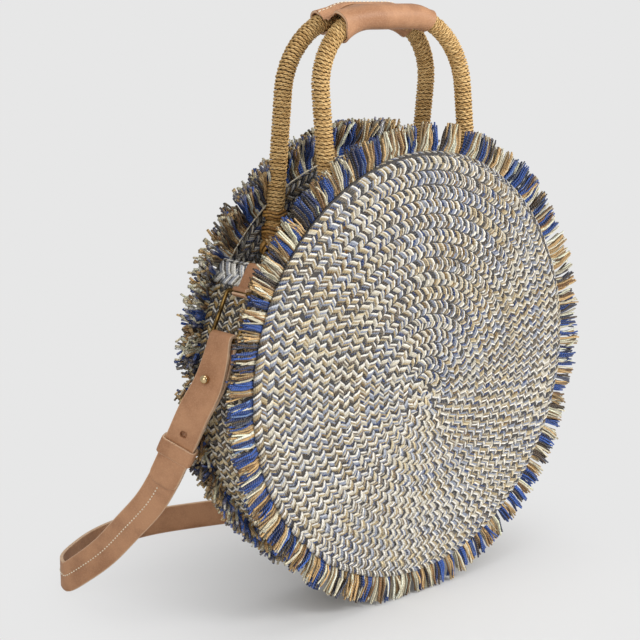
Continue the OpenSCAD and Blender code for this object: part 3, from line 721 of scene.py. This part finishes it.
def gripHeight(x, outer, over, side):  # middle of the sleeve round one cord, and how far the hoop has dropped
    height, slope = hoopTop(x - grip["off"] - handle["off"][side])
    low = height - outer / slope + outer
    high = hoopHeight - grip["sag"] * (2 * x / grip["length"]) ** 2
    return (max(high, low) if over else low), hoopHeight - height


def gripDip(x, inset=0.0):  # how deep the leather sinks between the hoops, most at its ends
    end = np.clip((abs(x) / (grip["length"] / 2) - 0.4) / 0.6, 0, 1)
    return (grip["dip"] - grip["thin"] * inset) * end ** 1.5 + grip["leastDip"]


def gripSection(x, inset):  # the outline round both cords at a distance along the grip
    half, outer = handle["gap"] / 2, grip["outer"] - inset
    dip, crease = gripDip(x, inset), grip["crease"] - grip["thin"] * inset
    between = np.linspace(-1, 1, 15)[1:-1]

    def bow(at, first, last):
        angles = np.radians(np.linspace(first, last, 17))
        return [(at + outer * math.cos(a), outer * math.sin(a)) for a in angles]

    points = bow(-half, 270, 90) + [(half * t, outer - dip * (1 - abs(t) ** 1.1)) for t in between]
    points += bow(half, 90, -90)
    points += [(half * t, -outer + crease * (1 - abs(t) ** 1.3)) for t in between[::-1]]
    out = []
    for y, z in points:
        along = x * (1 - grip["cut"] * (1 - z / outer) / 2)
        share = np.clip(y / (2 * half) + 0.5, 0, 1)
        (front, frontDrop), (back, backDrop) = (gripHeight(along, outer, z > 0, s) for s in (-1, 1))
        lean = math.tan(tilt) * (share * backDrop - (1 - share) * frontDrop)
        out.append((along - grip["off"], y + lean, front * (1 - share) + back * share + z))
    return out


def gripPoint(points):  # from heights along a handle's plane to heights over the floor
    return points * [1, 1, math.cos(tilt)] + [0, 0, handle["anchor"]]


def makeStitches(name, body, path, normal, make):
    shape = Shape()
    path, lengths = even(path, 0.5)
    tangent = tangents(path)
    normals = unit(sample(normal, np.linspace(0, lengths[-1], len(normal)), lengths))
    rise = make["radius"] * np.array([-0.7, 0.1, 0.35, 0.1, -0.7])
    at = 0.0
    while at + make["length"] < lengths[-1]:
        s = at + make["length"] * np.array([0.0, 0.2, 0.5, 0.8, 1.0])
        n = unit(sample(normals, lengths, s))
        t = unit(sample(tangent, lengths, s))
        middle = sample(path, lengths, s) + n * rise[:, None]
        shape.tubes(middle, unit(np.cross(t, n)), n, make["radius"], make["radius"], 6, 0.0)
        at += make["length"] + make["gap"]
    shape.piece(name, body, thread)


xs = grip["length"] / 2 * np.sin(np.linspace(-math.pi / 2, math.pi / 2, grip["steps"]))
outerGrid, innerGrid = (np.array([gripSection(x, inset) for x in xs]) for inset in (0.0, grip["wall"]))
rims = (outerGrid[[0, -1]] + innerGrid[[0, -1]]) / 2  # a rounded cut edge between the two faces
rims[..., 0] += grip["rimOut"] * np.sign(rims[..., 0])
grid = np.concatenate([outerGrid, rims[1:], innerGrid[::-1], rims[:1], outerGrid[:1]])
marks = np.zeros(grid.shape)
marks[..., 0] = grid[..., 0]
marks[[grip["steps"], 2 * grip["steps"] + 1], :, 2] = 1.0
shape = Shape()
shape.sheet(gripPoint(grid)[::-1], marks[::-1], True)
shape.piece("gripLeather", "handles", leather, ["grip"])

rows = []
for y, rise, _ in flap:
    sink = 1 - min(y / (handle["gap"] / 2), 1) ** 1.1
    rows.append([])
    for x in xs[2:-2]:
        top, drop = gripHeight(x, grip["outer"], True, 1)
        height = top + grip["outer"] - gripDip(x) * sink + rise
        rows[-1].append((x - grip["off"], y + drop * math.tan(tilt), height))
flapTop = gripPoint(np.array(rows))
shape = Shape()
shape.sheet(flapTop, np.array([[(x, 0.0, cut) for x in xs[2:-2]] for _, _, cut in flap], float))
shape.piece("gripFlap", "handles", leather)
line = flapTop[2] * 0.75 + flapTop[1] * 0.25 + [0, 0, 0.1]
makeStitches("gripStitches", "handles", line, np.tile([0, 0, 1.0], (len(line), 1)), gripStitch)
print("grip made")


# Tabs: a leather loop over each hem, closed round the strap's ring

tab = {"width": 15.6, "thick": 2.0, "edge": 0.2, "inner": 16.0, "hemOut": 176.7, "hemIn": 166.3, "gap": 0.3,
       "wire": 1.6, "slack": 0.3, "leg": 22.0, "short": 2.0, "lift": 0.4, "rise": 2.2, "off": -9.0,
       "shift": -1.0, "lean": math.radians(26), "ringHeight": 40.0, "ringWire": 3.2,
       "twist": [(12.0, 174.0), (18.5, 180.5)]}
pivotRadius = tab["hemOut"] + tab["gap"] + tab["wire"] + tab["slack"] + tab["thick"]
pivotAngle = gussetEnd + tab["leg"] / gusset["outer"]
pivot = arcPoint(pivotRadius, pivotAngle, tab["off"])
ringDown = np.array([-math.sin(tab["lean"]), 0, -math.cos(tab["lean"])])
bar = pivot + (tab["ringHeight"] - tab["ringWire"]) * ringDown


def tabPath():
    inner = tab["hemIn"] - tab["gap"] - tab["thick"] / 2
    outer = tab["hemOut"] + tab["gap"] + tab["thick"] / 2
    half, middle = (outer - inner) / 2, (outer + inner) / 2
    over = np.linspace(math.pi, 0, 17)[1:-1]  # over the hem
    up = np.array([math.sin(gussetEnd), 0, -math.cos(gussetEnd)])
    inside = gussetEnd + np.linspace(tab["inner"], 0, 12) / gusset["outer"]
    outside = gussetEnd + np.linspace(0, tab["leg"] - tab["short"], 12) / gusset["outer"]
    bow = arcPoint(middle + half * np.cos(over), gussetEnd, tab["off"])
    reach = tab["wire"] + tab["slack"] + tab["thick"] / 2
    loop = arcPoint(reach, pivotAngle + np.radians(np.linspace(0, -320, 26)), 0.0) - [0, 0, bag["height"]]
    bow = bow + up * (tab["rise"] * np.sin(over))[:, None]
    path = np.concatenate([arcPoint(inner, inside, tab["off"]), bow,
                           arcPoint(outer + tab["lift"], outside, tab["off"]), pivot + loop])
    for _ in range(2):  # smoother bends
        path = np.vstack([path[0], (path[:-2] + 2 * path[1:-1] + path[2:]) / 4, path[-1]])
    return even(path, 1.0)[0]


half, t = tab["width"] / 2, tab["thick"] / 2
tabSection = stripSection([(half - 0.5, -t), (half - 0.12, -t + 0.25), (half, 0), (half - 0.12, t - 0.25),
                           (half - 0.5, t)], [(x, t) for x in np.linspace(half - 0.5, -half + 0.5, 9)[1:-1]])
for name, flip in (("left", 1), ("right", -1)):
    path = tabPath() * [flip, 1, 1] + [0, tab["shift"], 0]
    across = np.tile(backward, (len(path), 1))
    shape = Shape()
    shape.strip(path, across, unit(np.cross(across, tangents(path))), tabSection, tab["edge"], flip=flip < 0)
    made = shape.piece(name + "TabLeather", None, leather, [name + "_tab"])
    for s, radius in tab["twist"]:  # a point on the hem at each twist mark; nothing uses it
        end = arcPoint(radius, gussetEnd + s / gusset["outer"], tab["off"])
    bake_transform(made)
print("tabs made")


# Shoulder strap, on the route of its solid; the shares are of the bag's outer radius and its middle height

strap = {"width": 25.0, "thick": 3.0, "ply": 0.4, "edge": 0.4, "flat": 9.0, "tail": 131.0, "shortTail": 48.0,
         "foldGone": 46.0, "hole": 80.0, "holeRadius": 3.0, "punch": (-2.2, 1.9), "twistSpans": 3,
         "faceAt": [0.2, 1, 2, 3, 4, 6, 7, 8, 9, 10], "face": [0, 18, 27, 30, 30, 30, 26, 16, 6, 0]}
strapStitch = {"length": 1.6, "gap": 2.1, "radius": 0.6, "off": 1.2, "first": 6, "last": 8}
foldRadius = tab["wire"] + tab["slack"] + strap["thick"] / 2
rest = strap["thick"] + strap["ply"]  # from strap to tail
floorShare = strap["width"] / 2 / bag["height"]
routeShares = [[-0.96, -0.04, 1.072], [-1, 0.008, 0.959], [-1.015, 0.063, 0.851], [-1.028, 0.115, 0.75],
               [-1.041, 0.17, 0.649], [-1.045, 0.27, 0.523], [-1.056, 0.412, 0.385], [-1.071, 0.558, 0.246],
               [-1.096, 0.694, 0.138]]
routeShares += [[x, y, floorShare] for x, y in (
    (-1.106, 0.811), (-1.066, 0.902), (-0.96, 0.987), (-0.798, 1.078), (-0.616, 1.129), (-0.424, 1.129),
    (-0.192, 1.063), (0.1, 0.955), (0.379, 0.833), (0.631, 0.697))]
routeShares += [[0.83, 0.56, 0.1], [0.96, 0.424, 0.256], [1.025, 0.31, 0.472], [1.04, 0.17, 0.68],
                [1.015, 0.055, 0.88], [0.96, -0.035, 1.072]]
inward = np.array([math.cos(tab["lean"]), 0, -math.sin(tab["lean"])])
start = bar + foldRadius * inward
middlePoints = np.array(routeShares) * [bag["tip"], bag["tip"], bag["height"]]
route = np.vstack([start, middlePoints, start * [-1, 1, 1]])
spans = len(route) - 1


def routeAt(u):
    i = np.clip(np.floor(u).astype(int), 0, spans - 1)
    t = (u - i)[:, None]
    a, b, c, d = (route[np.clip(i + k, 0, spans)] for k in (-1, 0, 1, 2))
    p = (2 * b + (c - a) * t + (2 * a - 5 * b + 4 * c - d) * t ** 2 + (3 * b - a - 3 * c + d) * t ** 3) / 2
    p[:, 2] = np.maximum(p[:, 2], strap["width"] / 2)
    return p


def strapFrame(u):  # points of the strap's middle, and its lengthwise, widthwise and outward ways
    near = 1 / 64
    t = unit(routeAt(np.minimum(u + near, spans)) - routeAt(np.maximum(u - near, 0)))
    turn = np.minimum(1, np.minimum(u, spans - u) / strap["twistSpans"])
    w = np.stack([0 * u, np.abs(t[:, 2]), np.hypot(t[:, 0], t[:, 1]) * turn], -1)
    w = unit(w - (w * t).sum(1)[:, None] * t)
    o = np.cross(w, t)
    face = np.interp(u, strap["faceAt"], np.radians(strap["face"]))[:, None]
    return routeAt(u), t, w * np.cos(face) + o * np.sin(face), o * np.cos(face) - w * np.sin(face)


samples = np.linspace(0, spans, spans * 16 + 1)
routeLengths = lengthsAlong(routeAt(samples))
routeLength = routeLengths[-1]


def frameAt(lengths):  # the same at lengths along the route
    return strapFrame(np.interp(lengths, routeLengths, samples))


def tailFrame(lengths, size, end):  # the strap folded back on itself: middle, ways, and how narrow it is
    p, _, w, o = frameAt(lengths if end < 0 else routeLength - lengths)
    off = rest + (2 * foldRadius - rest) * np.maximum(0, 1 - lengths / strap["foldGone"]) ** 1.6
    narrow = np.interp(lengths, [size - 9, size - 5, size - 1.5, size], [1, 0.96, 0.66, 0.5])
    return p + o * off[:, None], w, -o, narrow


def foldFrame(flip):  # round a ring's lower bar
    a = np.linspace(0, math.pi, 14)[1:-1, None]
    way = (inward * np.cos(a) - ringDown * np.sin(a))[::-flip]
    middle = (bar + foldRadius * way) * [flip, 1, 1]
    return middle, np.tile(backward, (len(a), 1)), -way * [flip, 1, 1], np.ones(len(a))


p, _, w, o = strapFrame(np.linspace(0, spans, spans * 12 + 1))
parts = [tailFrame(np.linspace(strap["tail"], 0, 56), strap["tail"], -1), foldFrame(1),
         (p, w, o, np.ones(len(p))), foldFrame(-1),
         tailFrame(np.linspace(0, strap["shortTail"], 22), strap["shortTail"], 1)]
centres, widthWays, thickWays, narrow = (np.concatenate(part) for part in zip(*parts))
half, t = strap["width"] / 2, strap["thick"] / 2
run = np.linspace(strap["flat"], -strap["flat"], 7)
right = [(half - 0.7, -t), (half - 0.2, -t + 0.3), (half, -0.35), (half - 0.25, 0.0), (half, 0.35),
         (half - 0.2, t - 0.3), (half - 0.7, t)]
section = stripSection(right, [(x, t) for x in run], [(-x, -t) for x in run])
shape = Shape()
shape.strip(centres, widthWays, thickWays, section, strap["edge"], narrow)
strapPiece = shape.piece("strapLeather", "strap", leather, ["shoulder_strap"])

p, t, w, o = frameAt(np.array([strap["hole"]]))  # the empty hole in the tail is punched
line = p + o * (rest + np.linspace(*strap["punch"], 5)[:, None])
shape = Shape()
shape.tubes(line, np.tile(t, (5, 1)), np.tile(w, (5, 1)), strap["holeRadius"], strap["holeRadius"], 24, 0.0)
punch = shape.piece("punch", "strap", leather)
cutter = strapPiece.modifiers.new("hole", "BOOLEAN")
cutter.operation, cutter.object, cutter.solver = "DIFFERENCE", punch, "EXACT"
punched = strapPiece.evaluated_get(bpy.context.evaluated_depsgraph_get())
whole = bpy.data.meshes.new_from_object(punched)
strapPiece.modifiers.clear()
strapPiece.data = whole
bpy.data.objects.remove(punch)

first, last = strap["tail"] + strapStitch["first"], strap["shortTail"] + strapStitch["last"]
p, _, w, o = frameAt(np.linspace(first, routeLength - last, 420))
makeStitches("strapStitches", "strap", p + o * (strap["thick"] / 2) + w * strapStitch["off"], o, strapStitch)
print("strap laid and punched")


# Keeper: a loose leather loop round strap and tail

keeper = {"at": 97.0, "width": 14.0, "thick": 1.8, "gap": 0.4, "corner": 2.2, "step": 1.2, "edge": 0.2}
p, t, w, o = (v[0] for v in frameAt(np.array([keeper["at"]])))
corner = keeper["corner"]
wide = strap["width"] / 2 + keeper["gap"] + keeper["thick"] / 2 - corner
high = strap["thick"] + strap["ply"] / 2 + keeper["gap"] + keeper["thick"] / 2 - corner
middle = p + o * rest / 2
loop = []
for quarter, (x, y) in enumerate([(wide, high), (-wide, high), (-wide, -high), (wide, -high)]):
    for a in np.radians(90 * quarter + np.linspace(0, 90, 8)):
        loop.append(middle + (x + corner * math.cos(a)) * w + (y + corner * math.sin(a)) * o)
loop, _ = even(np.array(loop + loop[:1]), keeper["step"])
loop = loop[:-1]
out = unit(np.cross(np.roll(loop, -1, 0) - np.roll(loop, 1, 0), t))
out = out * np.sign((out * (loop - middle)).sum())
loop, out = (np.vstack([v, v[0]]) for v in (loop, out))
half, thick = keeper["width"] / 2, keeper["thick"] / 2
right = [(half - 0.3, -thick), (half, -thick + 0.35), (half, thick - 0.35), (half - 0.5, thick),
         (half - 1.6, thick + 0.12)]
section = stripSection(right, [(0, thick + 0.2)])
shape = Shape()
shape.strip(loop, np.tile(t, (len(loop), 1)), out, section, keeper["edge"], ends=False)
shape.piece("keeperLeather", "keeper", leather, ["left_keeper"])
print("keeper made")


# Thread that sews each fringe on, seen inside the mouth

sewing = {"radius": 168.6, "depth": 33.9, "wide": 0.75, "high": 0.6, "points": 260}
shape = Shape()
for side in (-1, 1):
    path = arcPoint(sewing["radius"], np.linspace(0, tau, sewing["points"]), side * sewing["depth"])
    out = unit(path - [0, side * sewing["depth"], bag["height"]])
    shape.tubes(path, out, np.tile(backward, (len(path), 1)), sewing["wide"], sewing["high"], 6, 0.0)
shape.piece("fringeThread", "bag", thread)
print("fringes sewn on")


# Pieces that show their own solids

for node, finish in (("left_ring", antique), ("right_ring", antique), ("left_stud", brass),
                     ("right_stud", brass), ("front_handle_core", cane), ("back_handle_core", cane)):
    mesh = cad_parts[node].data
    mesh.materials.clear()
    mesh.materials.append(finish)
    for face in mesh.polygons:
        face.material_index = 0
print("metal and cane finished")


# Floor, light and camera, in metres

room = {"white": (0.799, 0.799, 0.799, 1), "floor": (0.76, 0.76, 0.76, 1), "floorHalf": 6.0, "world": 0.51}
lamps = {"keyLight": {"at": (1.0, -2.0, 1.25), "to": (0, 0, 0.2), "watts": 44.5, "size": 0.9},
         "fillLight": {"at": (-1.9, -1.2, 1.2), "to": (0, 0, 0.2), "watts": 15.0, "size": 1.4},
         "topLight": {"at": (0.1, -0.2, 2.4), "to": (0, 0, 0.1), "watts": 8.0, "size": 1.2}}
photoView = {"at": (-0.8455, -0.8711, 0.4870), "to": (-0.0795, -0.004, 0.2398), "lens": 84.39, "sensor": 36}

f = Finish("pale floor")
x, y, _ = f.parts(f.place())
far = f.spread((x * x + y * y) ** 0.5, 0.06, 0.32, 0.05, 1.0)
seen = f.node("ShaderNodeLightPath", {}, "Is Camera Ray")
diffuse = f.node("ShaderNodeBsdfDiffuse", {"Color": room["floor"]})
glow = f.node("ShaderNodeEmission", {"Color": room["white"], "Strength": 1.0})
size = room["floorHalf"]
mesh = bpy.data.meshes.new("floor")
mesh.from_pydata([(-size, -size, 0), (size, -size, 0), (size, size, 0), (-size, size, 0)], [], [(0, 1, 2, 3)])
mesh.materials.append(f.close(f.node("ShaderNodeMixShader", {0: far * seen, 1: diffuse, 2: glow})))
floorPiece = put("floor", mesh)

scene.view_settings.view_transform = "Standard"
f = Finish("soft studio", bpy.data.worlds)
seen = f.node("ShaderNodeLightPath", {}, "Is Camera Ray")
lit = f.node("ShaderNodeBackground", {"Color": (1, 1, 1, 1), "Strength": room["world"]})
shown = f.node("ShaderNodeBackground", {"Color": room["white"]})
scene.world = f.close(f.node("ShaderNodeMixShader", {0: seen, 1: lit, 2: shown}), "ShaderNodeOutputWorld")


def place(name, data, make):  # a lamp or camera that looks at a point
    made = put(name, data)
    made.location = make["at"]
    way = Vector(make["to"]) - made.location
    made.rotation_euler = way.to_track_quat("-Z", "Y").to_euler()
    return made


for name, make in lamps.items():
    data = bpy.data.lights.new(name, "AREA")
    data.energy, data.size = make["watts"], make["size"]
    place(name, data, make)
data = bpy.data.cameras.new("photoView")
data.lens, data.sensor_width = photoView["lens"], photoView["sensor"]
scene.camera = place("photoView", data, photoView)
print("stage set")
